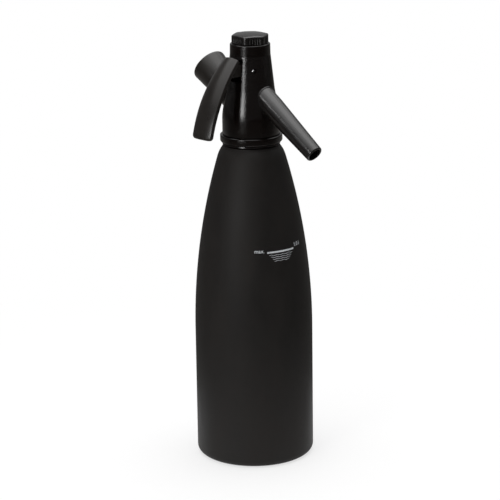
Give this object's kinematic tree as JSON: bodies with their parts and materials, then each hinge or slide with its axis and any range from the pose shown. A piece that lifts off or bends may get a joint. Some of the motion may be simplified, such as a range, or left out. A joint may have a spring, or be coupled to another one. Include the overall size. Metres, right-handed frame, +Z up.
{
  "type": "soda siphon",
  "caption": "Bottle-shaped soda siphon with a rubber coat, screwed-on head, squeeze lever, slanted spout and capped charger inlet.",
  "frame": {"origin": "centre of the flat standing face under the bottle", "axes": "+Z up along the bottle, +X towards the spout, -X towards the charger inlet, -Y towards the squeeze lever"},
  "size_m": [0.1235, 0.099, 0.3299],
  "materials": {
    "aluminium": "satin",
    "coat": "matte",
    "gloss_black": "gloss",
    "satin_black": "satin",
    "matte_black": "matte",
    "tube_plastic": "satin",
    "seal": "matte",
    "brass": "satin",
    "steel": "satin"
  },
  "bodies": {
    "bottle": {"bottle": "aluminium", "bottle_coat": "coat", "neck_collar": "gloss_black"},
    "head_seat": {"head_gasket": "seal"},
    "head": {"head_body": "gloss_black", "neck_insert": "brass", "spout": "satin_black", "spout_ring": "gloss_black", "spout_seal": "seal", "outlet_pipe": "brass", "valve_body": "brass", "barrel_seals": "seal", "riser_tube": "tube_plastic", "tube_nut": "brass", "tube_seal": "seal", "gland_nut": "brass", "stem_seal": "seal", "lever_pin": "steel", "inlet_stud": "brass", "check_sleeve": "seal", "inlet_filter": "brass", "piercing_pin": "steel", "inlet_gasket": "seal"},
    "lever": {"lever": "matte_black"},
    "valve": {"valve_stem": "steel", "valve_washer": "seal", "washer_screw": "steel", "lift_nut": "brass", "valve_spring": "steel"},
    "top_cap_seat": {"top_cap_seal": "seal"},
    "top_cap": {"top_cap": "matte_black"},
    "inlet_cap_seat": {"inlet_cap_seal": "seal"},
    "inlet_cap": {"inlet_cap": "matte_black"}
  },
  "joints": [
    {"name": "head_rise", "type": "slide", "parent": "bottle", "child": "head_seat", "axis": [0, 0, 1], "range_m": [0, 0.012]},
    {"name": "head_turn", "type": "hinge", "parent": "head_seat", "child": "head", "pos_m": [0, 0, 0.26], "axis": [0, 0, 1], "range_deg": [0, 1441]},
    {"name": "lever_squeeze", "type": "hinge", "parent": "head", "child": "lever", "pos_m": [0, -0.009, 0.3037], "axis": [1, 0, 0], "range_deg": [0, 18.1]},
    {"name": "valve_lift", "type": "slide", "parent": "head", "child": "valve", "axis": [0, 0, 1], "range_m": [0, 0.0028], "stiffness_N_per_m": 1600, "springref_m": -0.0095, "deforming": ["valve_spring"]},
    {"name": "top_cap_rise", "type": "slide", "parent": "head", "child": "top_cap_seat", "axis": [0, 0, 1], "range_m": [0, 0.006]},
    {"name": "top_cap_turn", "type": "hinge", "parent": "top_cap_seat", "child": "top_cap", "pos_m": [0, 0, 0.32], "axis": [0, 0, 1], "range_deg": [0, 1081]},
    {"name": "inlet_cap_rise", "type": "slide", "parent": "head", "child": "inlet_cap_seat", "axis": [-0.809, 0, 0.5878], "range_m": [0, 0.012]},
    {"name": "inlet_cap_turn", "type": "hinge", "parent": "inlet_cap_seat", "child": "inlet_cap", "pos_m": [0, 0, 0.267], "axis": [-0.809, 0, 0.5878], "range_deg": [0, 2161]}
  ],
  "couplings": [
    {"joint": "head_turn", "follows": "head_rise", "rad_per_m": 2094.4},
    {"joint": "lever_squeeze", "follows": "valve_lift", "rad_per_m": 112.2},
    {"joint": "top_cap_turn", "follows": "top_cap_rise", "rad_per_m": 3141.6},
    {"joint": "inlet_cap_turn", "follows": "inlet_cap_rise", "rad_per_m": 3141.6}
  ]
}
